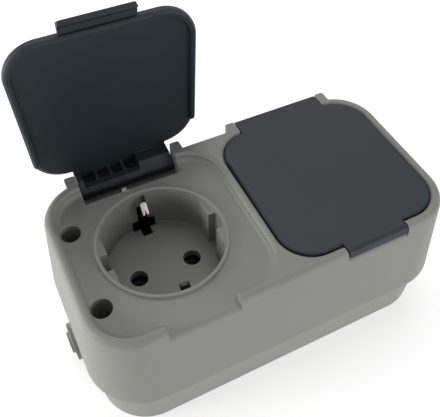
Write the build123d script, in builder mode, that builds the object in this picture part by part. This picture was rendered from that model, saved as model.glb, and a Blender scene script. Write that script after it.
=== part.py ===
from build123d import *
import os
from math import radians, tan

# Surface-mounted weatherproof double socket outlet with two hinged lids, lying on its back.
# The wall is z = 0 and +Z points out of it, +X runs along the sockets, +Y points to the hinges.
# The left lid stands open against its stop and the right lid is shut. Sizes are millimetres.

# Plug well, one in each socket
well_radius = 19.75
well_wall = 1.3
well_depth = 17.6
well_floor = 3.0
collar_play = 0.4
collar_break = 0.3
pin_spacing = 19.0
pin_hole = 5.8

# Guide ribs on the two sides of a well
rib_height = 2.65
rib_gap = 6.0
rib_drop = 2.1

# Openings for the earth contacts, and the small window in the floor
earth_slot_width = 3.4
earth_slot_drop = 2.2
earth_slot_break = 0.5
earth_stem_reach = 4.4
earth_arm_width = 8.2
earth_arm_length = 1.2
earth_arm_rise = 3.3
window_width = 3.2
window_length = 3.6
window_x = 2.9
window_y = -9.7

# Recess round each well
recess_margin = 7.15
recess_depth = 3.2
recess_corner = 11.5
recess_fillet = 1.6
recess_break = 0.8
divider = 2.6
plate_thickness = 2.2

# Cover round the recesses
rim_height = 51.0
rim_land = 3.2
rim_edge = 2.2
cover_foot = 20.0
end_draft = 7.0
side_draft = 9.2
cover_wall = 1.8

# Hinge: a pocket in the cover with an ear on each side, and a steel pin
hinge_set = 3.8
hinge_drop = 7.2
hinge_pin = 2.0
pin_play = 0.05
pin_stop = 0.9
pin_sink = 0.9
knuckle_radius = 2.2
pocket_width = 33.8
pocket_reach = 8.4
pocket_wall = 1.8
pocket_play = 0.4
stop_set = 0.4
stop_play = 0.1
ear_thickness = 3.6
ear_round = 0.8
open_angle = 85.0

# Lid
lid_gap = 0.35
lid_floor_play = 0.3
lid_plate = 1.5
lid_skirt = 1.9
skirt_break = 0.7
lid_edge = 1.0
skirt_stop = 9.7
rear_edge = 0.35
rear_band = 0.1
rear_bevel = 1.8
tongue_play = 0.4
tongue_edge = 0.7

# Finger tab and the notch under it
tab_width = 21.8
tab_proud = 1.0
tab_drop = 1.5
tab_corner = 1.2
notch_play = 0.4
notch_round = 2.0

# Hinge block under the lid's tongue
block_reach = 4.7
block_foot = 1.5
block_bevel = 1.3
hollow_start = 2.0
hollow_width = 19.5
hollow_floor = 0.9
hollow_wall = 2.0
hollow_reach = 2.7
hollow_rib = 1.0
hollow_ribs = 3
hollow_rib_set = 1.6

# Lid spring
spring_width = 1.8
spring_strip = 0.5
spring_place = -2.5
spring_proud = 0.1
spring_tip = 2.15
spring_kick = 1.5
spring_rise = 0.55

# Base box and its seal
base_gap = 0.4
base_rise = 1.8
base_wall = 2.6
base_floor = 2.6
base_edge = 1.2
seal_width = 1.0
seal_height = 1.6
groove_width = 1.2
groove_depth = 1.0
ledge_width = 2.0
ledge_height = 1.6
wall_hole = 5.0
wall_collar = 10.0
wall_collar_height = 1.5

# Cable entry on the left end
entry_height = 9.0
entry_boss = 13.4
entry_reach = 3.8
entry_bore = 10.0
grommet_play = 0.1
grommet_flange = 12.4
grommet_flange_thickness = 1.2
grommet_nose = 7.6
grommet_nose_reach = 0.9
grommet_skin = 0.9

# Cover screws
screw_margin = 0.1
screw_across = 29.0
screw_access = 6.4
screw_tube_wall = 1.3
screw_seat = 2.4
screw_play = 0.05
screw_tip_play = 1.0
screw_boss = 8.5
boss_drop = 1.0
cover_screw = 3.5
cover_screw_length = 16.0
cover_screw_head = 6.0
cover_screw_head_height = 2.2
drive_length = 4.2
drive_width = 0.9
drive_depth = 1.2

# Contact carriers
carrier_length = 32.0
carrier_width = 25.0
carrier_foot = 9.0
carrier_play = 0.2
carrier_corner = 2.0
chamber_length = 7.6
chamber_width = 8.4
chamber_floor = 2.0
lug_x = 10.0
lug_out = 3.3
lug_radius = 4.0
lug_height = 4.0
post_radius = 3.6
carrier_screw = 3.0
carrier_screw_length = 8.0
carrier_screw_head = 5.6
carrier_screw_head_height = 2.0

# Live and neutral contacts, and the links that join them
jaw_strip = 0.7
jaw_gap = 4.6
jaw_width = 5.0
jaw_flare = 0.85
jaw_flare_height = 2.3
jaw_drop = 2.5
tail_width = 3.0
tail_play = 0.5
link_strip = 0.8
link_foot = 5.0
link_play = 0.5
link_overrun = 2.0

# Earth brackets and link
earth_strip = 0.8
earth_hook = 1.7
earth_hook_drop = 8.0
earth_leg_width = 2.2
earth_leg_set = 0.8
earth_leg_rise = 4.5
earth_bulge_set = 4.9
earth_bulge_drop = 5.6
earth_tip_set = 2.4
earth_tip_drop = 2.3
earth_cross_width = 7.0
earth_link_width = 3.0
earth_link_inset = 2.0

# Terminals
terminal_x = 6.5
terminal_size = 7.0
terminal_height = 9.0
terminal_screw = 3.0
terminal_screw_length = 5.0
terminal_screw_head = 4.8
terminal_screw_head_height = 2.0
wire_hole = 3.0

# Outlines that follow from the sizes above
recess_size = 2 * (well_radius + well_wall + recess_margin)
socket_pitch = recess_size + divider
end_slope = tan(radians(end_draft))
side_slope = tan(radians(side_draft))
corner_slope = (end_slope + side_slope) / 2
wall_height = rim_height - cover_foot
cover_length = socket_pitch + recess_size + 2 * (rim_land + wall_height * end_slope)
cover_width = recess_size + 2 * (rim_land + wall_height * side_slope)
cover_corner = recess_corner + rim_land + wall_height * corner_slope
shell_length = cover_length - 2 * cover_wall
shell_width = cover_width - 2 * cover_wall
base_length = shell_length - 2 * base_gap
base_width = shell_width - 2 * base_gap
base_corner = cover_corner - cover_wall - base_gap
lid_size = recess_size - 2 * lid_gap
lid_corner = recess_corner - lid_gap

# Heights
recess_z = rim_height - recess_depth
plate_z = recess_z - plate_thickness
lid_under = rim_height - lid_plate
lid_depth = recess_depth - lid_floor_play
collar_z = lid_under - collar_play
well_z = collar_z - well_depth
well_under = well_z - well_floor
hinge_z = rim_height - hinge_drop
pocket_floor = hinge_z - knuckle_radius - pocket_play
stop_z = hinge_z - knuckle_radius - stop_play
base_height = cover_foot + base_rise
boss_top = base_height - boss_drop
seat_z = boss_top + screw_seat
groove_z = base_height - groove_depth
ledge_z = groove_z + seal_height
carrier_top = well_under - earth_strip - carrier_play
chamber_z = carrier_foot + chamber_floor
lug_top = carrier_foot + lug_height

# Places along and across the sockets
sockets = {"left": -socket_pitch / 2, "right": socket_pitch / 2}
outward = {"left": -1, "right": 1}
poles = {"live": -1, "neutral": 1}
socket_xs = list(sockets.values())
socket_centres = [(x, 0) for x in socket_xs]
well_outer = well_radius + well_wall
hinge_y = recess_size / 2 + hinge_set
ear_rear = hinge_y + knuckle_radius
ear_outer = pocket_width / 2 + ear_thickness
pocket_front = hinge_y - pocket_reach
tongue_width = pocket_width - 2 * tongue_play
tube_radius = screw_access / 2 + screw_tube_wall
screw_x = socket_pitch / 2 + recess_size / 2 - screw_access / 2 - screw_margin
cover_screw_places = [(sx * screw_x, sy * screw_across / 2) for sx in (-1, 1) for sy in (-1, 1)]
lug_y = carrier_width / 2 + lug_out
lug_places = [(x + side * lug_x, side * lug_y) for x in socket_xs for side in (-1, 1)]
pin_places = [(x + side * pin_spacing / 2, 0) for x in socket_xs for side in (-1, 1)]
wall_hole_spacing = socket_pitch + carrier_length + wall_collar
jaw_side = jaw_gap / 2 + jaw_strip / 2
link_y = jaw_gap / 2 + jaw_strip
terminal_y = link_y + link_strip + terminal_size / 2
earth_link_y = carrier_width / 2 - earth_link_inset
entry_face = -base_length / 2 - entry_reach
near = 0.01


def save(piece, name):
    """Label one finished piece and write it as its own STEP file."""
    piece.part.label = name
    export_step(piece.part, f"parts/{name}.step")


def wall_outline(height, inset):
    """Rounded outline of the drafted wall at a height, moved in by an inset."""
    rise = height - cover_foot
    RectangleRounded(
        cover_length - 2 * (inset + rise * end_slope),
        cover_width - 2 * (inset + rise * side_slope),
        cover_corner - inset - rise * corner_slope,
    )


os.makedirs("parts", exist_ok=True)

# Cutting form of one recess: filleted floor and a broken upper edge
with BuildPart() as recess_form:
    with BuildSketch(Plane.XY.offset(recess_z)):
        RectangleRounded(recess_size, recess_size, recess_corner)
    extrude(amount=recess_depth)
    fillet(recess_form.faces().sort_by(Axis.Z)[0].edges(), recess_fillet)
    with BuildSketch(Plane.XY.offset(rim_height - recess_break)):
        RectangleRounded(recess_size, recess_size, recess_corner)
    extrude(amount=2 * recess_break, taper=-45)

# Cutting form of one tab notch: its floor rolls over into the cover's front face
with BuildPart() as notch_form:
    roll_z = recess_z - notch_round
    roll_y = (roll_z - cover_foot) * side_slope - cover_width / 2
    outside_y = roll_y - rim_edge
    inside_y = recess_fillet - recess_size / 2
    above_z = rim_height + rim_edge
    with BuildSketch(Plane.YZ):
        with BuildLine():
            RadiusArc((roll_y + notch_round, recess_z), (roll_y, roll_z), -notch_round)
            Polyline(
                (roll_y, roll_z),
                (outside_y, roll_z),
                (outside_y, above_z),
                (inside_y, above_z),
                (inside_y, recess_z),
                (roll_y + notch_round, recess_z),
            )
        make_face()
    extrude(amount=tab_width / 2 + notch_play, both=True)

# Guide ribs of one well, in two pairs that run out into its wall
with BuildPart() as guide_ribs:
    with BuildSketch(Plane.XY.offset(well_z)):
        Circle(well_radius + well_wall / 2)
        Rectangle(2 * (well_radius - rib_height), 2 * well_outer, mode=Mode.SUBTRACT)
        Rectangle(2 * well_outer, rib_gap, mode=Mode.SUBTRACT)
    extrude(amount=well_depth - rib_drop)

# Cover: one moulding with recesses, wells, hinge pockets, ears and screw tubes
with BuildPart() as cover:
    for height in (cover_foot, rim_height):
        with BuildSketch(Plane.XY.offset(height)):
            wall_outline(height, 0)
    loft(ruled=True)
    fillet(cover.faces().sort_by(Axis.Z)[-1].edges(), rim_edge)
    # Hinge ears stand out at the rear and run down into the drafted wall
    ear_foot = cover_foot + (cover_width / 2 - ear_rear) / side_slope
    ear_xs = [x + side * (ear_outer - ear_thickness / 2) for x in socket_xs for side in (-1, 1)]
    with BuildSketch(Plane.XY.offset(ear_foot)):
        with Locations([(x, ear_rear) for x in ear_xs]):
            ear_length = ear_rear - recess_size / 2
            RectangleRounded(ear_thickness, ear_length, ear_round, align=(Align.CENTER, Align.MAX))
    extrude(amount=rim_height - ear_foot)
    # Inside of the shell
    for height in (cover_foot, plate_z):
        with BuildSketch(Plane.XY.offset(height)):
            wall_outline(height, cover_wall)
    loft(ruled=True, mode=Mode.SUBTRACT)
    with Locations(socket_centres):
        add(recess_form.part, mode=Mode.SUBTRACT)
    # Ledge that presses on the seal
    with BuildSketch(Plane.XY.offset(ledge_z)):
        wall_outline(ledge_z, cover_wall / 2)
        offset(amount=-ledge_width - cover_wall / 2, mode=Mode.SUBTRACT)
    extrude(amount=ledge_height)
    # Walls of the hinge pockets
    pocket_rear = cover_width / 2 - (pocket_floor - cover_foot) * side_slope - cover_wall / 2
    with BuildSketch(Plane.XY.offset(pocket_floor - pocket_wall)):
        with Locations([(x, pocket_front - pocket_wall) for x in socket_xs]):
            pocket_length = pocket_rear - pocket_front + pocket_wall
            Rectangle(2 * ear_outer, pocket_length, align=(Align.CENTER, Align.MIN))
    extrude(amount=plate_z + plate_thickness / 2 - pocket_floor + pocket_wall)
    # Wells and screw tubes
    with BuildSketch(Plane.XY.offset(well_under)):
        with Locations(socket_centres):
            Circle(well_outer)
    extrude(amount=collar_z - well_under)
    with BuildSketch(Plane.XY.offset(boss_top)):
        with Locations(cover_screw_places):
            Circle(tube_radius)
    extrude(amount=plate_z + plate_thickness / 2 - boss_top)
    with BuildSketch(Plane.XY.offset(well_z)):
        with Locations(socket_centres):
            Circle(well_radius)
    extrude(amount=rim_height - well_z, mode=Mode.SUBTRACT)
    collar_edges = cover.edges().filter_by(GeomType.CIRCLE)
    chamfer(collar_edges.filter_by_position(Axis.Z, collar_z - near, collar_z + near), collar_break)
    with Locations(socket_centres):
        add(guide_ribs.part)
    # Hinge pockets, open to the rear above the ledge that stops an opening lid
    with BuildSketch(Plane.XY.offset(pocket_floor)):
        with Locations([(x, pocket_front) for x in socket_xs]):
            Rectangle(pocket_width, pocket_reach + stop_set, align=(Align.CENTER, Align.MIN))
    extrude(amount=rim_height - pocket_floor, mode=Mode.SUBTRACT)
    with BuildSketch(Plane.XY.offset(stop_z)):
        with Locations([(x, hinge_y) for x in socket_xs]):
            Rectangle(pocket_width, 2 * knuckle_radius, align=(Align.CENTER, Align.MIN))
    extrude(amount=rim_height - stop_z, mode=Mode.SUBTRACT)
    # Notches for the lid tabs
    with Locations(socket_centres):
        add(notch_form.part, mode=Mode.SUBTRACT)
    # Earth contact slots in the walls of the wells, cross openings in their floors
    for end, growth in ((-1, Align.MAX), (1, Align.MIN)):
        with BuildSketch(Plane.XY.offset(well_z)):
            with Locations([(x, end * (well_radius - well_wall)) for x in socket_xs]):
                slot_length = 2 * well_wall + earth_slot_break
                Rectangle(earth_slot_width, slot_length, align=(Align.CENTER, growth))
        extrude(amount=well_depth - earth_slot_drop, mode=Mode.SUBTRACT)
        with BuildSketch(Plane.XY.offset(well_under)):
            with Locations([(x, end * (well_radius - earth_stem_reach)) for x in socket_xs]):
                Rectangle(earth_slot_width, earth_stem_reach + well_wall, align=(Align.CENTER, growth))
        extrude(amount=well_floor, mode=Mode.SUBTRACT)
        with BuildSketch(Plane.XY.offset(well_under)):
            with Locations([(x, end * (well_radius - earth_arm_length)) for x in socket_xs]):
                Rectangle(earth_arm_width, earth_arm_length + slot_length, align=(Align.CENTER, growth))
        extrude(amount=well_floor + earth_arm_rise, mode=Mode.SUBTRACT)
    # Pin holes and the small window in the floor of each well
    with BuildSketch(Plane.XY.offset(well_under)):
        with Locations(pin_places):
            Circle(pin_hole / 2)
        with Locations([(x + window_x, window_y) for x in socket_xs]):
            Rectangle(window_width, window_length)
    extrude(amount=well_floor, mode=Mode.SUBTRACT)
    # Screw holes with a seat for the heads
    with BuildSketch(Plane.XY.offset(seat_z)):
        with Locations(cover_screw_places):
            Circle(screw_access / 2)
    extrude(amount=recess_z + recess_fillet - seat_z, mode=Mode.SUBTRACT)
    with BuildSketch(Plane.XY.offset(boss_top)):
        with Locations(cover_screw_places):
            Circle(cover_screw / 2 + screw_play)
    extrude(amount=screw_seat, mode=Mode.SUBTRACT)
    # Pin bores, blind in the inner ear and open through the rear corner, and seats for the springs
    for name, x in sockets.items():
        bore_start = x - outward[name] * (ear_outer - pin_stop)
        with BuildSketch(Plane.YZ.offset(bore_start)):
            with Locations((hinge_y, hinge_z)):
                Circle(hinge_pin / 2 + pin_play)
        extrude(amount=outward[name] * cover_length / 2 - bore_start, mode=Mode.SUBTRACT)
        with BuildSketch(Plane.XY.offset(pocket_floor)):
            with Locations((x + spring_place, pocket_front)):
                Rectangle(spring_width, spring_strip, align=(Align.CENTER, Align.MAX))
        extrude(amount=rim_height - pocket_floor, mode=Mode.SUBTRACT)
save(cover, "cover")

# Base box: wall fixing, cable entry, posts for carriers and terminals, bosses for the cover screws
with BuildPart() as base_box:
    with BuildSketch():
        RectangleRounded(base_length, base_width, base_corner)
    extrude(amount=base_height)
    fillet(base_box.faces().sort_by(Axis.Z)[0].edges(), base_edge)
    with BuildSketch(Plane.XY.offset(base_floor)):
        RectangleRounded(base_length - 2 * base_wall, base_width - 2 * base_wall, base_corner - base_wall)
    extrude(amount=base_height, mode=Mode.SUBTRACT)
    # Groove for the seal
    with BuildSketch(Plane.XY.offset(groove_z)):
        outer = (base_wall - groove_width) / 2
        inner = outer + groove_width
        RectangleRounded(base_length - 2 * outer, base_width - 2 * outer, base_corner - outer)
        RectangleRounded(
            base_length - 2 * inner,
            base_width - 2 * inner,
            base_corner - inner,
            mode=Mode.SUBTRACT,
        )
    extrude(amount=groove_depth, mode=Mode.SUBTRACT)
    # Bosses, posts, feet of the terminals and wall-screw collars on the floor
    with BuildSketch(Plane.XY.offset(base_floor)):
        with Locations(cover_screw_places):
            Circle(screw_boss / 2)
    extrude(amount=boss_top - base_floor)
    with BuildSketch(Plane.XY.offset(base_floor)):
        with Locations(lug_places):
            Circle(post_radius)
    extrude(amount=carrier_foot - base_floor)
    with BuildSketch(Plane.XY.offset(base_floor)):
        with Locations((-terminal_x, terminal_y), (-terminal_x, -terminal_y)):
            Rectangle(terminal_size, terminal_size)
    extrude(amount=link_foot - base_floor)
    with BuildSketch(Plane.XY.offset(base_floor)):
        with GridLocations(wall_hole_spacing, 0, 2, 1):
            Circle(wall_collar / 2)
    extrude(amount=wall_collar_height)
    # Holes for the wall screws, the cover screws and the carrier screws
    with BuildSketch():
        with GridLocations(wall_hole_spacing, 0, 2, 1):
            Circle(wall_hole / 2)
    extrude(amount=base_floor + wall_collar_height, mode=Mode.SUBTRACT)
    with BuildSketch(Plane.XY.offset(boss_top)):
        with Locations(cover_screw_places):
            Circle(cover_screw / 2 + screw_play)
    extrude(amount=screw_seat - cover_screw_length - screw_tip_play, mode=Mode.SUBTRACT)
    with BuildSketch(Plane.XY.offset(carrier_foot)):
        with Locations(lug_places):
            Circle(carrier_screw / 2 + screw_play)
    extrude(amount=base_floor - carrier_foot, mode=Mode.SUBTRACT)
    # Cable entry
    with BuildSketch(Plane.YZ.offset(entry_face)):
        with Locations((0, entry_height)):
            Circle(entry_boss / 2)
    extrude(amount=entry_reach + base_wall / 2)
    with BuildSketch(Plane.YZ.offset(entry_face)):
        with Locations((0, entry_height)):
            Circle(entry_bore / 2)
    extrude(amount=entry_reach + base_wall, mode=Mode.SUBTRACT)
save(base_box, "base_box")

# Cable grommet: rubber plug with a closed nose, held by a flange inside the box
with BuildPart() as cable_grommet:
    flange_x = -base_length / 2 + base_wall
    inside_x = flange_x + grommet_flange_thickness
    nose_x = entry_face - grommet_nose_reach
    nose_z = entry_height + grommet_nose / 2
    body_z = entry_height + entry_bore / 2 - grommet_play
    flange_z = entry_height + grommet_flange / 2
    with BuildSketch(Plane.XZ):
        with BuildLine():
            Polyline(
                (nose_x, entry_height),
                (nose_x, nose_z),
                (entry_face, nose_z),
                (entry_face, body_z),
                (flange_x, body_z),
                (flange_x, flange_z),
                (inside_x, flange_z),
                (inside_x, nose_z - grommet_skin),
                (nose_x + grommet_skin, nose_z - grommet_skin),
                (nose_x + grommet_skin, entry_height),
                close=True,
            )
        make_face()
    revolve(axis=Axis((0, 0, entry_height), (1, 0, 0)))
save(cable_grommet, "cable_grommet")

# Seal ring in the groove of the base box
with BuildPart() as cover_seal:
    with BuildSketch(Plane.XY.offset(groove_z)):
        outer = (base_wall - seal_width) / 2
        inner = outer + seal_width
        RectangleRounded(base_length - 2 * outer, base_width - 2 * outer, base_corner - outer)
        RectangleRounded(
            base_length - 2 * inner,
            base_width - 2 * inner,
            base_corner - inner,
            mode=Mode.SUBTRACT,
        )
    extrude(amount=seal_height)
save(cover_seal, "cover_seal")

# Cover screws: four pan heads with cross recesses, deep in their access holes
with BuildPart() as cover_screws:
    with BuildSketch(Plane.XY.offset(seat_z)):
        with Locations(cover_screw_places):
            Circle(cover_screw_head / 2)
    extrude(amount=cover_screw_head_height)
    with BuildSketch(Plane.XY.offset(seat_z)):
        with Locations(cover_screw_places):
            Circle(cover_screw / 2)
    extrude(amount=-cover_screw_length)
    with BuildSketch(Plane.XY.offset(seat_z + cover_screw_head_height)):
        with Locations(cover_screw_places):
            Rectangle(drive_length, drive_width)
            Rectangle(drive_width, drive_length)
    extrude(amount=-drive_depth, mode=Mode.SUBTRACT)
save(cover_screws, "cover_screws")

# Contact carriers: moulded blocks with a chamber for each plug pin and two screw lugs
for name, x in sockets.items():
    with BuildPart() as contact_carrier:
        with BuildSketch(Plane.XY.offset(carrier_foot)):
            with Locations((x, 0)):
                RectangleRounded(carrier_length, carrier_width, carrier_corner)
        extrude(amount=carrier_top - carrier_foot)
        with BuildSketch(Plane.XY.offset(carrier_foot)):
            for side in (-1, 1):
                with Locations((x + side * lug_x, side * lug_y)):
                    Circle(lug_radius)
                with Locations((x + side * lug_x, side * carrier_width / 2)):
                    Rectangle(2 * lug_radius, 2 * lug_out)
        extrude(amount=lug_height)
        with BuildSketch(Plane.XY.offset(chamber_z)):
            with Locations((x - pin_spacing / 2, 0), (x + pin_spacing / 2, 0)):
                Rectangle(chamber_length, chamber_width)
        extrude(amount=carrier_top - chamber_z, mode=Mode.SUBTRACT)
        with BuildSketch(Plane.XY.offset(carrier_foot)):
            for side in poles.values():
                with Locations((x + side * pin_spacing / 2, -side * jaw_side)):
                    Rectangle(tail_width + 2 * tail_play, jaw_strip + 2 * tail_play)
        extrude(amount=chamber_floor, mode=Mode.SUBTRACT)
        with BuildSketch(Plane.XY.offset(carrier_foot)):
            with Locations((x - lug_x, -lug_y), (x + lug_x, lug_y)):
                Circle(carrier_screw / 2 + screw_play)
        extrude(amount=lug_height, mode=Mode.SUBTRACT)
    save(contact_carrier, f"contact_carrier_{name}")

# Carrier screws: four pan heads through the lugs into the posts of the base box
with BuildPart() as carrier_screws:
    with BuildSketch(Plane.XY.offset(lug_top)):
        with Locations(lug_places):
            Circle(carrier_screw_head / 2)
    extrude(amount=carrier_screw_head_height)
    with BuildSketch(Plane.XY.offset(lug_top)):
        with Locations(lug_places):
            Circle(carrier_screw / 2)
    extrude(amount=-carrier_screw_length)
save(carrier_screws, "carrier_screws")

# Live and neutral contacts: folded spring jaws with a tail down to their link
for name, x in sockets.items():
    for pole, side in poles.items():
        with BuildPart() as contact:
            jaw_x = x + side * pin_spacing / 2
            jaw_top = carrier_top - jaw_drop
            jaw_bend = jaw_top - jaw_flare_height
            jaw_foot = chamber_z + jaw_strip / 2
            with BuildSketch(Plane.YZ.offset(jaw_x)):
                with BuildLine():
                    Polyline(
                        (-jaw_side - jaw_flare, jaw_top),
                        (-jaw_side, jaw_bend),
                        (-jaw_side, jaw_foot),
                        (jaw_side, jaw_foot),
                        (jaw_side, jaw_bend),
                        (jaw_side + jaw_flare, jaw_top),
                    )
                trace(line_width=jaw_strip)
            extrude(amount=jaw_width / 2, both=True)
            with BuildSketch(Plane.XY.offset(link_foot)):
                with Locations((jaw_x, -side * jaw_side)):
                    Rectangle(tail_width, jaw_strip)
            extrude(amount=jaw_foot - link_foot)
        save(contact, f"{pole}_contact_{name}")

# Links: bars on edge that join the like contacts of both sockets
for pole, side in poles.items():
    with BuildPart() as link:
        with BuildSketch(Plane.XY.offset(link_foot)):
            with Locations((side * pin_spacing / 2, -side * (link_y + link_strip / 2))):
                Rectangle(socket_pitch + 2 * link_overrun, link_strip)
        extrude(amount=carrier_foot - link_play - link_foot)
    save(link, f"{pole}_link")

# Earth brackets: strips across the carriers with two sprung legs up into the well
for name, x in sockets.items():
    with BuildPart() as earth_bracket:
        strip_z = carrier_top + earth_strip / 2
        with BuildSketch(Plane.YZ.offset(x)):
            for end in (-1, 1):
                with BuildLine():
                    Polyline(
                        (end * carrier_width / 2, strip_z),
                        (end * (carrier_width / 2 + earth_hook), strip_z),
                        (end * (carrier_width / 2 + earth_hook), strip_z - earth_hook_drop),
                        (end * (well_radius + earth_leg_set), strip_z - earth_hook_drop),
                        (end * (well_radius + earth_leg_set), well_z + earth_leg_rise),
                        (end * (well_radius - earth_bulge_set), collar_z - earth_bulge_drop),
                        (end * (well_radius - earth_tip_set), collar_z - earth_tip_drop),
                    )
                trace(line_width=earth_strip)
        extrude(amount=earth_leg_width / 2, both=True)
        with BuildSketch(Plane.XY.offset(carrier_top)):
            with Locations((x, 0)):
                Rectangle(earth_cross_width, carrier_width)
        extrude(amount=earth_strip)
    save(earth_bracket, f"earth_bracket_{name}")

# Earth link: strip between the brackets, with an eye for the earth terminal's screw
with BuildPart() as earth_link:
    with BuildSketch(Plane.XY.offset(carrier_top)):
        with Locations((0, earth_link_y)):
            Rectangle(socket_pitch - earth_cross_width, earth_link_width)
        with Locations((terminal_x, earth_link_y)):
            Rectangle(terminal_size, terminal_size)
            Circle(terminal_screw / 2 + screw_play, mode=Mode.SUBTRACT)
    extrude(amount=earth_strip)
save(earth_link, "earth_link")

# Terminals: brass blocks with a wire hole and a threaded hole for the clamping screw
terminals = {
    "live": (-terminal_x, terminal_y, link_foot),
    "neutral": (-terminal_x, -terminal_y, link_foot),
    "earth": (terminal_x, earth_link_y, carrier_top - terminal_height),
}
for pole, (x, y, z) in terminals.items():
    with BuildPart() as terminal:
        with BuildSketch(Plane.XY.offset(z)):
            with Locations((x, y)):
                Rectangle(terminal_size, terminal_size)
        extrude(amount=terminal_height)
        with BuildSketch(Plane.XY.offset(z + terminal_height)):
            with Locations((x, y)):
                Circle(terminal_screw / 2 + screw_play)
        extrude(amount=-terminal_screw_length, mode=Mode.SUBTRACT)
        with BuildSketch(Plane.YZ.offset(x - terminal_size / 2)):
            with Locations((y, z + wire_hole)):
                Circle(wire_hole / 2)
        extrude(amount=terminal_size, mode=Mode.SUBTRACT)
    save(terminal, f"{pole}_terminal")

# Terminal screws, the earth one through the eye of the earth link
with BuildPart() as terminal_screws:
    for pole, (x, y, z) in terminals.items():
        head_z = z + terminal_height + (earth_strip if pole == "earth" else 0)
        with BuildSketch(Plane.XY.offset(head_z)):
            with Locations((x, y)):
                Circle(terminal_screw_head / 2)
        extrude(amount=terminal_screw_head_height)
        with BuildSketch(Plane.XY.offset(head_z)):
            with Locations((x, y)):
                Circle(terminal_screw / 2)
        extrude(amount=-terminal_screw_length)
save(terminal_screws, "terminal_screws")

# Front part of the lid, shut and centred on its socket: a tray with a skirt on three sides
with BuildPart() as lid_tray:
    skirt_end = lid_size / 2 - skirt_stop
    tray_size = lid_size - 2 * lid_skirt
    with BuildSketch(Plane.XY.offset(rim_height - lid_depth)):
        RectangleRounded(lid_size, lid_size, lid_corner)
        with Locations((0, skirt_end)):
            Rectangle(lid_size, lid_size, align=(Align.CENTER, Align.MAX), mode=Mode.INTERSECT)
    extrude(amount=lid_depth)
    chamfer(lid_tray.faces().sort_by(Axis.Z)[0].edges().sort_by(Axis.Y)[:-1], skirt_break)
    fillet(lid_tray.faces().sort_by(Axis.Z)[-1].edges().sort_by(Axis.Y)[:-1], lid_edge)
    with BuildSketch(Plane.XY.offset(rim_height - lid_depth)):
        RectangleRounded(tray_size, tray_size, lid_corner - lid_skirt)
        with Locations((0, skirt_end)):
            Rectangle(tray_size, 2 * skirt_stop)
    extrude(amount=lid_depth - lid_plate, mode=Mode.SUBTRACT)

# Rear part of the lid: a plate without a skirt, bevelled below so that it turns clear of the recess
with BuildPart() as lid_rear:
    with BuildSketch(Plane.XY.offset(lid_under)):
        RectangleRounded(lid_size, lid_size, lid_corner)
        with Locations((0, skirt_end - lid_edge)):
            Rectangle(lid_size, lid_size, align=(Align.CENTER, Align.MIN), mode=Mode.INTERSECT)
    extrude(amount=lid_plate)
    lower_arcs = lid_rear.edges().filter_by(GeomType.CIRCLE).group_by(Axis.Z)[0]
    bevel_rise = lid_plate - rear_edge - rear_band
    chamfer(lower_arcs, rear_bevel, bevel_rise, reference=lid_rear.faces().sort_by(Axis.Z)[0])
    upper_arcs = lid_rear.edges().filter_by(GeomType.CIRCLE).group_by(Axis.Z)[-1]
    fillet(upper_arcs, rear_edge)

# Finger tab: the lid's front edge drawn out and curled down over its notch, with rounded corners
with BuildPart() as finger_tab:
    tab_z = rim_height - lid_plate / 2
    tab_end = -recess_size / 2 - rim_land - tab_proud + lid_plate / 2
    with BuildSketch(Plane.YZ):
        with BuildLine():
            FilletPolyline(
                (lid_skirt - lid_size / 2, tab_z),
                (tab_end + tab_drop, tab_z),
                (tab_end, tab_z - tab_drop),
                radius=tab_drop,
            )
        trace(line_width=lid_plate)
    extrude(amount=tab_width / 2, both=True)
    tab_face = finger_tab.part.bounding_box().min.Y
    with BuildSketch(Plane.XY.offset(recess_z - rim_edge)):
        with Locations((0, tab_face)):
            RectangleRounded(tab_width, recess_size / 2, tab_corner, align=(Align.CENTER, Align.MIN))
    extrude(amount=recess_depth + 2 * rim_edge, mode=Mode.INTERSECT)

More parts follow.
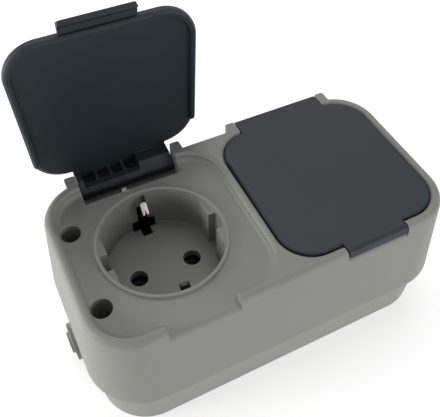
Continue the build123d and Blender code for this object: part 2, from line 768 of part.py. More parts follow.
# Whole lid: tray, rear plate, tongue with hinge block and knuckle, finger tab
with BuildPart() as lid:
    add(lid_tray.part)
    add(lid_rear.part)
    with BuildSketch(Plane.XY.offset(lid_under)):
        with Locations((0, ear_rear)):
            Rectangle(tongue_width, ear_rear - skirt_end, align=(Align.CENTER, Align.MAX))
    extrude(amount=lid_plate)
    rear_edges = lid.edges().filter_by(Axis.X).group_by(Axis.Y)[-1]
    fillet(rear_edges.sort_by(Axis.Z)[-1], tongue_edge)
    # Hinge block with its knuckle
    block_front = hinge_y - block_reach
    block_z = hinge_z + block_foot
    heel = knuckle_radius / 2**0.5
    with BuildSketch(Plane.YZ):
        with BuildLine():
            Polyline(
                (block_front, lid_under),
                (block_front, block_z),
                (block_front + block_bevel, block_z - block_bevel),
                (hinge_y - heel, hinge_z - heel),
                (hinge_y, hinge_z),
                (ear_rear, hinge_z),
                (ear_rear, lid_under),
                close=True,
            )
        make_face()
        with Locations((hinge_y, hinge_z)):
            Circle(knuckle_radius)
    extrude(amount=tongue_width / 2, both=True)
    # Hollow in the left part of the block, with ribs across it
    hollow_x = hollow_start - tongue_width / 2
    hollow_z = hinge_z + hinge_pin / 2 + pin_play + hollow_floor
    hollow_rear = ear_rear - hollow_wall
    with BuildSketch(Plane.YZ.offset(hollow_x)):
        with Locations((hollow_rear, lid_under)):
            Rectangle(block_reach + block_bevel, lid_under - hollow_z, align=(Align.MAX, Align.MAX))
        with Locations((hinge_y - hollow_reach, lid_under)):
            Rectangle(block_reach, lid_under - hinge_z + knuckle_radius, align=(Align.MAX, Align.MAX))
    extrude(amount=hollow_width, mode=Mode.SUBTRACT)
    rib_step = hollow_width / (hollow_ribs + 1)
    for rib in range(hollow_ribs):
        rib_x = hollow_x + (rib + 1) * rib_step
        with BuildSketch(Plane.YZ.offset(rib_x)):
            with Locations((block_front + hollow_rib_set, lid_under)):
                rib_length = hollow_rear - block_front - hollow_rib_set
                Rectangle(rib_length, lid_under - hollow_z, align=(Align.MIN, Align.MAX))
        extrude(amount=hollow_rib / 2, both=True)
    with BuildSketch(Plane.YZ):
        with Locations((hinge_y, hinge_z)):
            Circle(hinge_pin / 2 + pin_play)
    extrude(amount=tongue_width / 2, both=True, mode=Mode.SUBTRACT)
    add(finger_tab.part)

# Both lids from the one form, the left one turned open about its hinge
for name, angle in (("left", open_angle), ("right", 0)):
    with BuildPart() as placed_lid:
        turned = lid.part.rotate(Axis((0, hinge_y, hinge_z), (-1, 0, 0)), angle)
        add(turned.moved(Location((sockets[name], 0, 0))))
    save(placed_lid, f"lid_{name}")

# Hinge pins, pushed in from the outer ends of the cover
for name, x in sockets.items():
    with BuildPart() as steel_pin:
        with BuildSketch(Plane.YZ.offset(x - outward[name] * (ear_outer - pin_stop))):
            with Locations((hinge_y, hinge_z)):
                Circle(hinge_pin / 2)
        extrude(amount=outward[name] * (2 * ear_outer - pin_stop - pin_sink))
    save(steel_pin, f"hinge_pin_{name}")

# Lid springs: steel strips in the pockets that bear on the knuckles
for name, x in sockets.items():
    with BuildPart() as lid_spring:
        strip_y = pocket_front - spring_strip / 2
        strip_z = pocket_floor + spring_strip / 2
        tip_y = hinge_y - spring_tip
        with BuildSketch(Plane.YZ.offset(x + spring_place)):
            with BuildLine():
                Polyline(
                    (strip_y, recess_z + spring_proud),
                    (strip_y, strip_z),
                    (tip_y - spring_kick, strip_z),
                    (tip_y, strip_z + spring_rise),
                )
            trace(line_width=spring_strip)
        extrude(amount=spring_width / 2, both=True)
    save(lid_spring, f"lid_spring_{name}")
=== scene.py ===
import math

import bmesh
import bpy
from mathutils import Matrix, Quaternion, Vector
from mathutils.bvhtree import BVHTree


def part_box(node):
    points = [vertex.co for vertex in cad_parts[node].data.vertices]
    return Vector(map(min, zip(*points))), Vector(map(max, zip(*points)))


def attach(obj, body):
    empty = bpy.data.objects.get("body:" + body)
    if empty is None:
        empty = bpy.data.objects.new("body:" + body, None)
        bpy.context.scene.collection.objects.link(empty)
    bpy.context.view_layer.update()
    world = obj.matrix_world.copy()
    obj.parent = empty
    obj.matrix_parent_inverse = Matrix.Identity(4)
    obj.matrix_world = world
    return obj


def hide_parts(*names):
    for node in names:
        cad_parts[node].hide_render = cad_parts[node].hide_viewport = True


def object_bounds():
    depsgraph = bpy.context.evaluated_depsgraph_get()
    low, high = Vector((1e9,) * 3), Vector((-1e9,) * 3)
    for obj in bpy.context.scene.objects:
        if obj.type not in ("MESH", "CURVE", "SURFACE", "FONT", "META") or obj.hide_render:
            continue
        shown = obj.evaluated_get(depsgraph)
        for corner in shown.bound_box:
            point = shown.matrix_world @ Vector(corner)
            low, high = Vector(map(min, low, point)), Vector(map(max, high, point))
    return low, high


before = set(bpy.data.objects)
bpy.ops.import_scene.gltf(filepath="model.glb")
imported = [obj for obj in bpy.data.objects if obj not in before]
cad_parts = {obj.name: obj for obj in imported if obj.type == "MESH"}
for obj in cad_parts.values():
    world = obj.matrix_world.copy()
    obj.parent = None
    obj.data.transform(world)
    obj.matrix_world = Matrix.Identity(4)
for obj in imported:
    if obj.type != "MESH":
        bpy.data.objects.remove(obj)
cad_low, cad_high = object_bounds()

# Base box: the half of the housing that is screwed to the wall.
# It is injection moulded in grey ABS, spark-eroded to a fine matt grain, with the sharp mould edges
# broken by a hair. The cover screws pull the cover down on it.
mm = 0.001
base_edge = 0.25 * mm
base_grey = (0.296, 0.300, 0.270)
base_shadow_grey = (0.278, 0.282, 0.254)
housing_grain = 0.28 * mm
housing_rough = 0.55
merge_gap = 0.001 * mm
noise_range = (0.3, 0.7)
two_noises_range = (0.7, 1.3)


def sharp_edges(form, edge_round, sharp_degrees, kept_off):
    """Sharp edges of a form that are long enough to round and clear of the places to keep off."""
    chosen = []
    for edge in form.edges:
        length = edge.calc_length()
        middle = (edge.verts[0].co + edge.verts[1].co) / 2
        clear = all((middle - place).length > length / 2 + width for place, width in kept_off)
        if clear and length > edge_round and edge.calc_face_angle(0.0) > math.radians(sharp_degrees):
            chosen.append(edge)
    return chosen


def moulded_copy(node, edge_round, sharp_degrees=32):
    """A merged copy of a node's mesh with its sharp edges rounded, apart from those where that strays."""
    flat_turn = math.radians(0.4)
    smooth_turn = math.radians(50)
    stray_gap = edge_round / 2
    berth = 1.5
    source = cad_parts[node].data
    plain = bmesh.new()
    for vertex in source.vertices:
        plain.verts.new(vertex.co)
    plain.verts.ensure_lookup_table()
    for face in source.polygons:
        plain.faces.new([plain.verts[i] for i in face.vertices])
    bmesh.ops.remove_doubles(plain, verts=plain.verts, dist=merge_gap)
    bmesh.ops.dissolve_limit(plain, angle_limit=flat_turn, verts=plain.verts, edges=plain.edges)
    surface = BVHTree.FromBMesh(plain)
    mesh = bpy.data.meshes.new(f"{node}_moulded")
    kept_off = []
    strays = True
    while strays:
        form = plain.copy()
        edges = sharp_edges(form, edge_round, sharp_degrees, kept_off)
        bmesh.ops.bevel(form, geom=edges, offset=edge_round, segments=2, profile=0.5, affect="EDGES")
        gaps = [(vertex.co.copy(), surface.find_nearest(vertex.co)[3]) for vertex in form.verts]
        strays = [(place, berth * gap + edge_round) for place, gap in gaps if gap > stray_gap]
        kept_off += strays
        form.to_mesh(mesh)
        form.free()
    plain.free()
    mesh.shade_smooth()
    mesh.set_sharp_from_angle(angle=smooth_turn)
    return mesh


def show_piece(name, mesh, material, body, slot, *nodes):
    """Link a finished mesh as one piece that rides on a body and stands for its nodes."""
    piece = bpy.data.objects.new(name, mesh)
    bpy.context.scene.collection.objects.link(piece)
    mesh.materials.clear()
    mesh.materials.append(material)
    flats = piece.modifiers.new("Even flats", "WEIGHTED_NORMAL")
    flats.keep_sharp = True
    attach(piece, body)
    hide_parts(*nodes)


def set_or_link(tree, socket, value):
    """Give an input a written value, or link another node's output to it."""
    if isinstance(value, bpy.types.NodeSocket):
        tree.links.new(value, socket)
    else:
        socket.default_value = value


def put_node(tree, kind, **inputs):
    """Add a node and set or link its inputs, named with underscores for spaces."""
    made = tree.nodes.new(kind)
    for key, value in inputs.items():
        set_or_link(tree, made.inputs[key.replace("_", " ")], value)
    return made


def work_out(tree, operation, first, second=0.0):
    """The value of one math node on two values, written or linked."""
    made = tree.nodes.new("ShaderNodeMath")
    made.operation = operation
    set_or_link(tree, made.inputs[0], first)
    set_or_link(tree, made.inputs[1], second)
    return made.outputs["Value"]


def stretch_range(tree, value, low, high, to_low=0.0, to_high=1.0):
    """A value's range from low to high, stretched over another range and clamped to it."""
    made = put_node(tree, "ShaderNodeMapRange", Value=value, From_Min=low, From_Max=high, To_Min=to_low,
                    To_Max=to_high)
    return made.outputs["Result"]


def noise(tree, place, per_metre, detail):
    """A noise value with so many waves to the metre."""
    made = put_node(tree, "ShaderNodeTexNoise", Vector=place, Scale=per_metre, Detail=detail)
    return made.outputs["Fac"]


def blend_colours(tree, factor, first, second):
    """Mix two colours, written or linked, by a factor socket."""
    mix = tree.nodes.new("ShaderNodeMix")
    mix.data_type = "RGBA"
    tree.links.new(factor, mix.inputs["Factor"])
    for key, colour in (("A", first), ("B", second)):
        linked = isinstance(colour, bpy.types.NodeSocket)
        set_or_link(tree, mix.inputs[key], colour if linked else (*colour, 1))
    return mix.outputs["Result"]


def add_relief(tree, shader, height, strength, depth):
    """Bump a shader's surface by a height value."""
    relief = put_node(tree, "ShaderNodeBump", Height=height, Strength=strength, Distance=depth)
    tree.links.new(relief.outputs["Normal"], shader.inputs["Normal"])


def new_finish(name):
    """An empty node material with a shader: gives the material, its tree, shader and coordinates."""
    material = bpy.data.materials.new(name)
    material.use_nodes = True
    tree = material.node_tree
    place = tree.nodes.new("ShaderNodeTexCoord").outputs["Object"]
    return material, tree, tree.nodes["Principled BSDF"], place


def wear_and_highlight_edges(tree, patchy, width):
    """Factor for paler outer edges, partly wear and partly a painted highlight: high on outer edges, found
    by short rays cast inwards, and broken by a patchy value.
    """
    flat_share, edge_share = 0.85, 0.35
    inward = put_node(tree, "ShaderNodeAmbientOcclusion", Distance=width)
    inward.inside = True
    inward.only_local = True
    inward.samples = 4
    edge = stretch_range(tree, inward.outputs["AO"], flat_share, edge_share)
    return work_out(tree, "MULTIPLY", edge, patchy)


def grained_plastic(name, colour, shade, grain, rough, gloss=0.5):
    """Moulded plastic: clouded colour, fine eroded grain, an uneven sheen and outer edges painted paler, as
    wear and as a painted highlight.
    """
    clouds_per_metre = 30
    speck_size = 2 * grain
    # Outer edges are painted paler: partly wear, partly a painted highlight.
    wear_and_highlight_width = 0.5 * mm
    wear_and_highlight_paler = 1.3
    uneven = 0.05
    pit_depth = 0.04 * mm
    pit_strength = 0.35
    material, tree, shader, place = new_finish(name)
    cloud = noise(tree, place, clouds_per_metre, detail=3.0)
    speck = noise(tree, place, 1 / speck_size, detail=1.0)
    spread = stretch_range(tree, work_out(tree, "ADD", cloud, speck), *two_noises_range)
    body = blend_colours(tree, spread, shade, colour)
    # Painted highlight and wear: the outer edges turn to this paler colour.
    pale = [wear_and_highlight_paler * channel for channel in colour]
    worn_and_highlit = blend_colours(tree, wear_and_highlight_edges(tree, cloud, wear_and_highlight_width), body, pale)
    tree.links.new(worn_and_highlit, shader.inputs["Base Color"])
    sheen = stretch_range(tree, cloud, *noise_range, rough - uneven, rough + uneven)
    tree.links.new(sheen, shader.inputs["Roughness"])
    shader.inputs["Specular IOR Level"].default_value = gloss
    pits = noise(tree, place, 1 / grain, detail=2.0)
    add_relief(tree, shader, pits, pit_strength, pit_depth)
    return material


base_finish = grained_plastic("base_grey_plastic", base_grey, base_shadow_grey, housing_grain, housing_rough)
base_mesh = moulded_copy("base_box", base_edge)
show_piece("base_box_moulding", base_mesh, base_finish, "housing", "housing_plastic", "base_box")

# Cable grommet: a soft plug pushed through the boss on the end of the base box.
# It is moulded in grey elastomer with a thin closed nose that is cut open for the cable.
grommet_edge = 0.3 * mm
grommet_grey = (0.215, 0.218, 0.198)
grommet_dark = (0.190, 0.194, 0.177)
grommet_grain = 0.5 * mm
grommet_rough = 0.68
grommet_finish = grained_plastic("grommet_elastomer", grommet_grey, grommet_dark, grommet_grain,
                                 grommet_rough)
grommet_mesh = moulded_copy("cable_grommet", grommet_edge)
show_piece("cable_grommet_plug", grommet_mesh, grommet_finish, "housing", "seal_rubber", "cable_grommet")

# Cover seal: a ring of black sponge rubber laid in the groove of the base box.
# The ledge inside the cover presses on it, so hardly any of it shows from outside.
seal_black = (0.018, 0.018, 0.018)
seal_shade = (0.010, 0.010, 0.010)
seal_grain = 0.6 * mm
seal_rough = 0.85


def finish_node(node, material):
    """Give a carried-over node its finish."""
    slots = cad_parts[node].data.materials
    slots.clear()
    slots.append(material)


seal_finish = grained_plastic("seal_sponge", seal_black, seal_shade, seal_grain, seal_rough)
finish_node("cover_seal", seal_finish)

# Contact carriers: blocks of black thermoset, pressed with a chamber for each plug pin.
# Each is held down by two screws through its lugs, under one of the wells.
carrier_black = (0.044, 0.051, 0.073)
carrier_shade = (0.036, 0.042, 0.061)
carrier_grain = 0.35 * mm
carrier_rough = 0.5
carrier_finish = grained_plastic("carrier_thermoset", carrier_black, carrier_shade, carrier_grain,
                                 carrier_rough)
for side in ("left", "right"):
    finish_node(f"contact_carrier_{side}", carrier_finish)

# Carrier screws: four pan-head screws of zinc-plated steel that hold the carriers to the posts.
# Heads are cold-headed with a cross recess, threads are rolled.
zinc_bright = (0.62, 0.63, 0.64)
zinc_stain = (0.50, 0.50, 0.50)
zinc_rough = 0.34
metal_smooth_turn = math.radians(35)
carrier_screw_sizes = {
    "Head diameter": 5.6 * mm,
    "Head height": 2.0 * mm,
    "Shank diameter": 3.0 * mm,
    "Thread pitch": 1.2 * mm,
    "Drive length": 3.6 * mm,
}


def brushed_metal(name, colour, stain, rough):
    """Plated or rolled metal with faint streaks, cloudy stain and fine scratches."""
    stain_size = 3 * mm
    streak_width = 0.6 * mm
    along_streaks = (1.0, 1.0, 0.12)
    uneven = 0.05
    scratch_depth = 0.01 * mm
    scratch_strength = 0.10
    material, tree, shader, place = new_finish(name)
    stretched = put_node(tree, "ShaderNodeMapping", Vector=place, Scale=along_streaks).outputs["Vector"]
    cloud = noise(tree, place, 1 / stain_size, detail=3.0)
    streaks = noise(tree, stretched, 1 / streak_width, detail=2.0)
    tree.links.new(blend_colours(tree, cloud, stain, colour), shader.inputs["Base Color"])
    sheen = stretch_range(tree, streaks, *noise_range, rough - uneven, rough + uneven)
    tree.links.new(sheen, shader.inputs["Roughness"])
    add_relief(tree, shader, streaks, scratch_strength, scratch_depth)
    shader.inputs["Metallic"].default_value = 1.0
    return material


def screw_tree():
    """Geometry nodes for a set of pan-head screws, one at each point of the object's mesh."""
    dome_power, dome_drop, dome_from = 2.4, 0.45, 0.4
    drive_arm, drive_depth = 0.24, 1.1
    thread_depth = 0.08
    tree = bpy.data.node_groups.new("pan_head_screws", "GeometryNodeTree")
    sockets = tree.interface
    sockets.new_socket("Places", in_out="INPUT", socket_type="NodeSocketGeometry")
    for label in (*carrier_screw_sizes, "Shank length"):
        sockets.new_socket(label, in_out="INPUT", socket_type="NodeSocketFloat")
    sockets.new_socket("Finish", in_out="INPUT", socket_type="NodeSocketMaterial")
    sockets.new_socket("Screws", in_out="OUTPUT", socket_type="NodeSocketGeometry")
    given = tree.nodes.new("NodeGroupInput").outputs

    def times(first, second):
        """The product of two values."""
        return work_out(tree, "MULTIPLY", first, second)

    def at_height(height):
        """A vector straight up."""
        return put_node(tree, "ShaderNodeCombineXYZ", Z=height).outputs["Vector"]

    def moved(geometry, offset):
        """Geometry moved by a vector."""
        made = put_node(tree, "GeometryNodeTransform", Geometry=geometry, Translation=offset)
        return made.outputs["Geometry"]

    where = tree.nodes.new("GeometryNodeInputPosition").outputs["Position"]
    split = put_node(tree, "ShaderNodeSeparateXYZ", Vector=where).outputs
    flat = put_node(tree, "ShaderNodeCombineXYZ", X=split["X"], Y=split["Y"]).outputs["Vector"]
    length = tree.nodes.new("ShaderNodeVectorMath")
    length.operation = "LENGTH"
    tree.links.new(flat, length.inputs[0])

    # Head: a short cylinder whose upper face is domed
    height = given["Head height"]
    head_radius = times(given["Head diameter"], 0.5)
    head = put_node(tree, "GeometryNodeMeshCylinder", Vertices=40, Fill_Segments=8, Side_Segments=3,
                    Radius=head_radius, Depth=height)
    share = work_out(tree, "DIVIDE", length.outputs["Value"], head_radius)
    dome = times(work_out(tree, "POWER", share, dome_power), times(height, -dome_drop))
    upper = work_out(tree, "GREATER_THAN", split["Z"], times(height, dome_from))
    domed = put_node(tree, "GeometryNodeSetPosition", Geometry=head.outputs["Mesh"], Selection=upper,
                     Offset=at_height(dome))
    seated = moved(domed.outputs["Geometry"], at_height(times(height, 0.5)))

    # Drive: two crossing bars cut out of the dome
    arm = times(given["Drive length"], drive_arm)
    deep = times(height, drive_depth)
    cut = tree.nodes.new("GeometryNodeMeshBoolean")
    cut.operation = "DIFFERENCE"
    tree.links.new(seated, cut.inputs["Mesh 1"])
    for size in ({"X": given["Drive length"], "Y": arm}, {"X": arm, "Y": given["Drive length"]}):
        bar_size = put_node(tree, "ShaderNodeCombineXYZ", Z=deep, **size).outputs["Vector"]
        bar = put_node(tree, "GeometryNodeMeshCube", Size=bar_size)
        tree.links.new(moved(bar.outputs["Mesh"], at_height(height)), cut.inputs["Mesh 2"])

    # Shank: a cylinder drawn in along a rolled helix
    shank = put_node(tree, "GeometryNodeMeshCylinder", Vertices=24, Side_Segments=64,
                     Radius=times(given["Shank diameter"], 0.5), Depth=given["Shank length"])
    turn = work_out(tree, "ARCTAN2", split["Y"], split["X"])
    climb = times(work_out(tree, "DIVIDE", split["Z"], given["Thread pitch"]), math.tau)
    wave = work_out(tree, "COSINE", work_out(tree, "SUBTRACT", climb, turn))
    waist = work_out(tree, "ADD", times(wave, thread_depth), 1 - thread_depth)
    drawn = put_node(tree, "ShaderNodeCombineXYZ", X=times(split["X"], waist), Y=times(split["Y"], waist),
                     Z=split["Z"])
    threaded = put_node(tree, "GeometryNodeSetPosition", Geometry=shank.outputs["Mesh"],
                        Position=drawn.outputs["Vector"])
    hung = moved(threaded.outputs["Geometry"], at_height(times(given["Shank length"], -0.5)))

    screw = tree.nodes.new("GeometryNodeJoinGeometry")
    tree.links.new(cut.outputs["Mesh"], screw.inputs["Geometry"])
    tree.links.new(hung, screw.inputs["Geometry"])
    points = put_node(tree, "GeometryNodeMeshToPoints", Mesh=given["Places"])
    spread = put_node(tree, "GeometryNodeInstanceOnPoints", Points=points.outputs["Points"],
                      Instance=screw.outputs["Geometry"])
    real = put_node(tree, "GeometryNodeRealizeInstances", Geometry=spread.outputs["Instances"])
    coated = put_node(tree, "GeometryNodeSetMaterial", Geometry=real.outputs["Geometry"],
                      Material=given["Finish"])
    put_node(tree, "NodeGroupOutput", Screws=coated.outputs["Geometry"])
    return tree


def islands(node):
    """Lowest and highest corner of each separate solid of a node, in a fixed order."""
    form = bmesh.new()
    form.from_mesh(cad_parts[node].data)
    bmesh.ops.remove_doubles(form, verts=form.verts, dist=merge_gap)
    left = set(form.verts)
    found = []
    while left:
        group = {left.pop()}
        edge_of_group = set(group)
        while edge_of_group:
            edge_of_group = {e.other_vert(v) for v in edge_of_group for e in v.link_edges} & left
            group |= edge_of_group
            left -= edge_of_group
        points = [v.co.copy() for v in group]
        found.append((Vector(map(min, *points)), Vector(map(max, *points))))
    form.free()
    return sorted(found, key=lambda corners: tuple(corners[0]))


def plain_mesh(holder, name):
    """The finished metal mesh that an object's modifiers give. The object itself is removed."""
    ready = holder.evaluated_get(bpy.context.evaluated_depsgraph_get())
    mesh = bpy.data.meshes.new_from_object(ready)
    mesh.name = name
    bpy.data.objects.remove(holder)
    mesh.shade_smooth()
    mesh.set_sharp_from_angle(angle=metal_smooth_turn)
    return mesh


def screw_set(node, name, sizes):
    """Replace a node of plain screws by detailed ones in the same places."""
    solids = islands(node)
    head_height = sizes["Head height"]
    seats = [((low.x + high.x) / 2, (low.y + high.y) / 2, high.z - head_height) for low, high in solids]
    shank_length = seats[0][2] - solids[0][0].z
    dots = bpy.data.meshes.new(f"{name}_places")
    dots.from_pydata(seats, [], [])
    holder = bpy.data.objects.new(f"{name}_holder", dots)
    bpy.context.scene.collection.objects.link(holder)
    maker = holder.modifiers.new("Screws", "NODES")
    maker.node_group = pan_heads
    values = {**sizes, "Shank length": shank_length, "Finish": zinc_finish}
    for socket in pan_heads.interface.items_tree:
        if socket.name in values:
            maker[socket.identifier] = values[socket.name]
    show_piece(name, plain_mesh(holder, name), zinc_finish, "housing", "steel", node)


zinc_finish = brushed_metal("zinc_plate", zinc_bright, zinc_stain, zinc_rough)
pan_heads = screw_tree()
screw_set("carrier_screws", "carrier_pan_heads", carrier_screw_sizes)

# Live and neutral contacts and their links: jaws folded from tinned strip, one for each plug pin.
# Their tails drop through the carriers on to brass bars that join like poles of both sockets.
tin_bright = (0.40, 0.41, 0.43)
tin_stain = (0.32, 0.33, 0.35)
tin_rough = 0.42
brass_bright = (0.70, 0.52, 0.24)
brass_stain = (0.58, 0.40, 0.16)
brass_rough = 0.30
tin_finish = brushed_metal("tin_plate", tin_bright, tin_stain, tin_rough)
brass_finish = brushed_metal("rolled_brass", brass_bright, brass_stain, brass_rough)
for pole in ("live", "neutral"):
    for side in ("left", "right"):
        finish_node(f"{pole}_contact_{side}", tin_finish)
    finish_node(f"{pole}_link", brass_finish)

# Earth brackets and their link: strips of nickel-plated spring bronze laid across the carriers.
# Two sprung legs of each stand up through the slots of a well. They are slit at the bend and rounded at
# the tip. Their nickel is darkened low down and on faces turned from the well's middle, a painted shade.
nickel_bright = (0.425, 0.405, 0.393)
nickel_stain = (0.273, 0.246, 0.225)
# Painted shade: the colour of the nickel low down and on faces turned from the well's middle.
nickel_painted_shade = (0.062, 0.058, 0.054)
nickel_rough = 0.34
spring_edge = 0.2 * mm
strip_sharp_degrees = 20
leg_width = 2.2 * mm
tip_round = 0.9 * mm
bend_below_tip = 3.54 * mm
slit_width = 0.8 * mm
slit_above_bend = 1.5 * mm
slit_below_bend = 3.0 * mm
slit_from_leg = 2.4 * mm
slit_to_leg = 7.5 * mm
cut_spare = 0.3 * mm
# How the painted shade fades in, with depth below the bend and with the facing of a face.
painted_shade_fade_depth = 6.0 * mm
fully_shaded_facing = -4.0 * mm
unshaded_facing = -10.0 * mm


def painted_shade_low_and_outward(material, height, painted_shade_colour):
    """Paint shade on a metal: it stays bright only above a height and on the faces turned towards the
    middle, and is darkened elsewhere.
    """
    tree = material.node_tree
    colour = tree.nodes["Principled BSDF"].inputs["Base Color"]
    bright = colour.links[0].from_socket
    coordinates = tree.nodes.new("ShaderNodeTexCoord").outputs
    place = put_node(tree, "ShaderNodeSeparateXYZ", Vector=coordinates["Object"]).outputs
    facing = put_node(tree, "ShaderNodeSeparateXYZ", Vector=coordinates["Normal"]).outputs
    high = stretch_range(tree, place["Z"], height - painted_shade_fade_depth, height)
    outward = work_out(tree, "MULTIPLY", place["Y"], facing["Y"])
    inner = stretch_range(tree, outward, fully_shaded_facing, unshaded_facing)
    unshaded = work_out(tree, "MULTIPLY", high, inner)
    tree.links.new(blend_colours(tree, unshaded, painted_shade_colour, bright), colour)


def add_prism(form, outline, start, end):
    """Add a prism along y to a form, from an outline of x and z places."""
    near = [form.verts.new((x, start, z)) for x, z in outline]
    far = [form.verts.new((x, end, z)) for x, z in outline]
    form.faces.new(near)
    form.faces.new(far)
    for i, corner in enumerate(near):
        form.faces.new((near[i - 1], corner, far[i], far[i - 1]))


def leg_cutter(x, tip, leg_outside):
    """The stock that is cut from both legs of a bracket: a slit at each bend and the corners of each tip."""
    bend = tip - bend_below_tip
    half = slit_width / 2
    slit = [(x - half, bend - slit_below_bend), (x + half, bend - slit_below_bend), (x + half, bend),
            (x, bend + slit_above_bend), (x - half, bend)]
    turns = [math.radians(angle) for angle in range(0, 91, 15)]
    form = bmesh.new()
    for end in (-1, 1):
        reach = [end * (leg_outside - slit_from_leg), end * (leg_outside - slit_to_leg)]
        add_prism(form, slit, *reach)
        for side in (-1, 1):
            edge = x + side * leg_width / 2
            arc = [(edge - side * tip_round * (1 - math.cos(turn)), tip - tip_round * (1 - math.sin(turn)))
                   for turn in turns]
            beyond = [(edge - side * tip_round, tip + cut_spare), (edge + side * cut_spare, tip + cut_spare),
                      (edge + side * cut_spare, tip - tip_round)]
            add_prism(form, arc + beyond, *reach)
    bmesh.ops.recalc_face_normals(form, faces=form.faces)
    mesh = bpy.data.meshes.new("leg_cutter")
    form.to_mesh(mesh)
    form.free()
    return mesh


def cut_away(mesh, cutter_mesh, name):
    """A copy of a mesh with a cutter's form taken out of it."""
    blank = bpy.data.objects.new("blank", mesh)
    cutter = bpy.data.objects.new("cutter", cutter_mesh)
    for made in (blank, cutter):
        bpy.context.scene.collection.objects.link(made)
    cut = blank.modifiers.new("Cut", "BOOLEAN")
    cut.operation = "DIFFERENCE"
    cut.solver = "EXACT"
    cut.object = cutter
    result = plain_mesh(blank, name)
    bpy.data.objects.remove(cutter)
    return result


nickel_finish = brushed_metal("nickel_plate", nickel_bright, nickel_stain, nickel_rough)
# The nickel gets painted shade below the legs' bend and on faces turned from the well's middle.
painted_shade_low_and_outward(nickel_finish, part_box("earth_bracket_left")[1].z - bend_below_tip, nickel_painted_shade)
for side in ("left", "right"):
    node = f"earth_bracket_{side}"
    name = f"earth_spring_{side}"
    node_low, node_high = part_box(node)
    stock = leg_cutter((node_low.x + node_high.x) / 2, node_high.z, node_high.y)
    bracket_mesh = cut_away(moulded_copy(node, spring_edge, strip_sharp_degrees), stock, name)
    show_piece(name, bracket_mesh, nickel_finish, "housing", "brass", node)
finish_node("earth_link", nickel_finish)

# Terminals and their screws: sawn brass blocks with a cross hole for the wire.
# Two stand on feet of the base box, and the earth one hangs from its link by its own screw.
terminal_screw_sizes = {
    "Head diameter": 4.8 * mm,
    "Head height": 2.0 * mm,
    "Shank diameter": 3.0 * mm,
    "Thread pitch": 0.5 * mm,
    "Drive length": 3.2 * mm,
}
for pole in ("live", "neutral", "earth"):
    finish_node(f"{pole}_terminal", brass_finish)
screw_set("terminal_screws", "terminal_pan_heads", terminal_screw_sizes)

# Cover: the outer half of the housing, one moulding with both wells, the recesses and the hinge ears.
# It is grained ABS in a grey a shade darker than the base box, and its edges are soft from the mould.
cover_edge = 0.25 * mm
cover_grey = (0.262, 0.266, 0.239)
cover_shadow_grey = (0.246, 0.250, 0.226)
cover_finish = grained_plastic("cover_grey_plastic", cover_grey, cover_shadow_grey, housing_grain,
                               housing_rough)
cover_mesh = moulded_copy("cover", cover_edge)
show_piece("cover_moulding", cover_mesh, cover_finish, "housing", "housing_plastic", "cover")

# Cover screws: four zinc-plated pan heads deep in their access holes at the ends of the recesses.
# They cut their own thread in the bosses of the base box and squeeze the seal.
cover_screw_sizes = {
    "Head diameter": 6.0 * mm,
    "Head height": 2.2 * mm,
    "Shank diameter": 3.5 * mm,
    "Thread pitch": 1.5 * mm,
    "Drive length": 4.0 * mm,
}
screw_set("cover_screws", "cover_pan_heads", cover_screw_sizes)

# Lids: two like mouldings in anthracite ABS, each with a skirt, a finger tab and a hinge block.
# Their eroded grain is a little finer than the housing's, and they shine less.
lid_edge = 0.2 * mm
lid_anthracite = (0.0165, 0.0250, 0.0305)
lid_dark = (0.0140, 0.0215, 0.0265)
lid_grain = 0.25 * mm
lid_rough = 0.50
lid_gloss = 0.30
lid_finish = grained_plastic("lid_anthracite_plastic", lid_anthracite, lid_dark, lid_grain, lid_rough,
                             lid_gloss)
for side in ("left", "right"):
    lid_mesh = moulded_copy(f"lid_{side}", lid_edge)
    show_piece(f"lid_{side}_moulding", lid_mesh, lid_finish, f"lid_{side}", "lid_plastic", f"lid_{side}")

# Hinge pins and lid springs: drawn steel wire pushed through ears and knuckle,
# and a strip of spring steel in each pocket that bears on the knuckle and holds the lid.
steel_bright = (0.34, 0.34, 0.35)
steel_stain = (0.26, 0.26, 0.26)
steel_rough = 0.40
lid_spring_edge = 0.12 * mm
steel_finish = brushed_metal("spring_steel", steel_bright, steel_stain, steel_rough)
for side in ("left", "right"):
    finish_node(f"hinge_pin_{side}", steel_finish)
    node = f"lid_spring_{side}"
    spring_mesh = moulded_copy(node, lid_spring_edge, strip_sharp_degrees)
    show_piece(f"{node}_strip", spring_mesh, steel_finish, "housing", "steel", node)

# Floor: a wide pale sheet under the socket, which keeps the soft shadow.
# To the camera it glows, more so away from the socket, and runs into the white background.
floor_half = 1.5
floor_pale = (0.80, 0.80, 0.80, 1)
floor_rough = 0.9
shadow_reach = 0.12
white_from = 0.55
glow_near = 0.55
# The floor also glows on the socket at this strength, a painted light from below.
floor_bounce = 0.45
white = (1, 1, 1, 1)


def meets_white(tree):
    """Factor of one or more for the rays that meet white: camera, glossy and transmission rays."""
    ray = tree.nodes.new("ShaderNodeLightPath").outputs
    seen_or_mirrored = work_out(tree, "ADD", ray["Is Camera Ray"], ray["Is Glossy Ray"])
    return work_out(tree, "ADD", seen_or_mirrored, ray["Is Transmission Ray"])


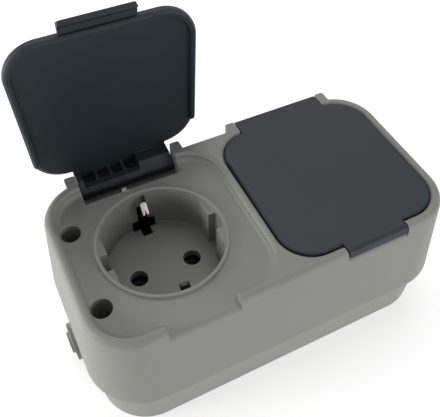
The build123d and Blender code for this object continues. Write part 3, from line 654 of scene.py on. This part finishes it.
floor_mesh = bpy.data.meshes.new("floor")
corners = [(-floor_half, -floor_half, 0), (floor_half, -floor_half, 0), (floor_half, floor_half, 0),
           (-floor_half, floor_half, 0)]
floor_mesh.from_pydata(corners, [], [(0, 1, 2, 3)])
floor = bpy.data.objects.new("floor", floor_mesh)
bpy.context.scene.collection.objects.link(floor)
floor_finish, floor_tree, floor_shader, floor_place = new_finish("pale_floor")
floor_shader.inputs["Base Color"].default_value = floor_pale
floor_shader.inputs["Roughness"].default_value = floor_rough
floor_shader.inputs["Emission Color"].default_value = white
away = floor_tree.nodes.new("ShaderNodeVectorMath")
away.operation = "LENGTH"
floor_tree.links.new(floor_place, away.inputs[0])
fade = stretch_range(floor_tree, away.outputs["Value"], shadow_reach, white_from, glow_near, 1.0)
glow = stretch_range(floor_tree, meets_white(floor_tree), 0.0, 1.0, floor_bounce, fade)
floor_tree.links.new(glow, floor_shader.inputs["Emission Strength"])
floor_mesh.materials.append(floor_finish)

# Studio light: a dim even room, a large softbox on the left and weaker ones in front and above.
# To the camera and in reflections the room is plain white.
room_light = 0.22
softboxes = {
    "left_softbox": {"place": (-0.82, 0.24, 0.13), "size": 0.5, "power": 7.5},
    "front_softbox": {"place": (0.45, -0.75, 0.14), "size": 0.5, "power": 3.7},
    "top_softbox": {"place": (0.14, 0.30, 0.86), "size": 0.6, "power": 2.6},
}
world = bpy.data.worlds.new("studio")
bpy.context.scene.world = world
world.use_nodes = True
room = world.node_tree
room_shader = room.nodes["Background"]
room_shader.inputs["Color"].default_value = white
strength = stretch_range(room, meets_white(room), 0.0, 1.0, room_light, 1.0)
room.links.new(strength, room_shader.inputs["Strength"])
middle = (cad_low + cad_high) / 2
for name, softbox in softboxes.items():
    lamp_data = bpy.data.lights.new(name, "AREA")
    lamp_data.size = softbox["size"]
    lamp_data.energy = softbox["power"]
    lamp = bpy.data.objects.new(name, lamp_data)
    lamp.location = softbox["place"]
    lamp.rotation_mode = "QUATERNION"
    lamp.rotation_quaternion = (middle - Vector(softbox["place"])).to_track_quat("-Z", "Y")
    bpy.context.scene.collection.objects.link(lamp)

# Camera: looks down on the left front corner from close by, as in the photograph.
# Its place is given by the angles round the aim point, and it is rolled a little, as that view is.
aim_point = Vector((-6.2, 2.5, 39.45)) * mm
distance = 189.9 * mm
azimuth = math.radians(-27.97)
elevation = math.radians(53.3)
roll = math.radians(1.69)
focal_pixels = 565.58
image_width = 440
image_height = 417
axis_pixel = (225.63, 223.56)
sensor_width = 36.0
nearest_seen = 0.01
camera_data = bpy.data.cameras.new("camera")
camera_data.sensor_width = sensor_width
camera_data.lens = focal_pixels * sensor_width / image_width
camera_data.shift_x = (image_width / 2 - axis_pixel[0]) / image_width
camera_data.shift_y = (axis_pixel[1] - image_height / 2) / image_width
camera_data.clip_start = nearest_seen
camera = bpy.data.objects.new("camera", camera_data)
back = Vector((math.sin(azimuth) * math.cos(elevation), -math.cos(azimuth) * math.cos(elevation),
               math.sin(elevation)))
camera.location = aim_point + back * distance
camera.rotation_mode = "QUATERNION"
camera.rotation_quaternion = (-back).to_track_quat("-Z", "Y") @ Quaternion((0, 0, 1), roll)
bpy.context.scene.collection.objects.link(camera)
bpy.context.scene.camera = camera
bpy.context.scene.view_settings.view_transform = "Standard"
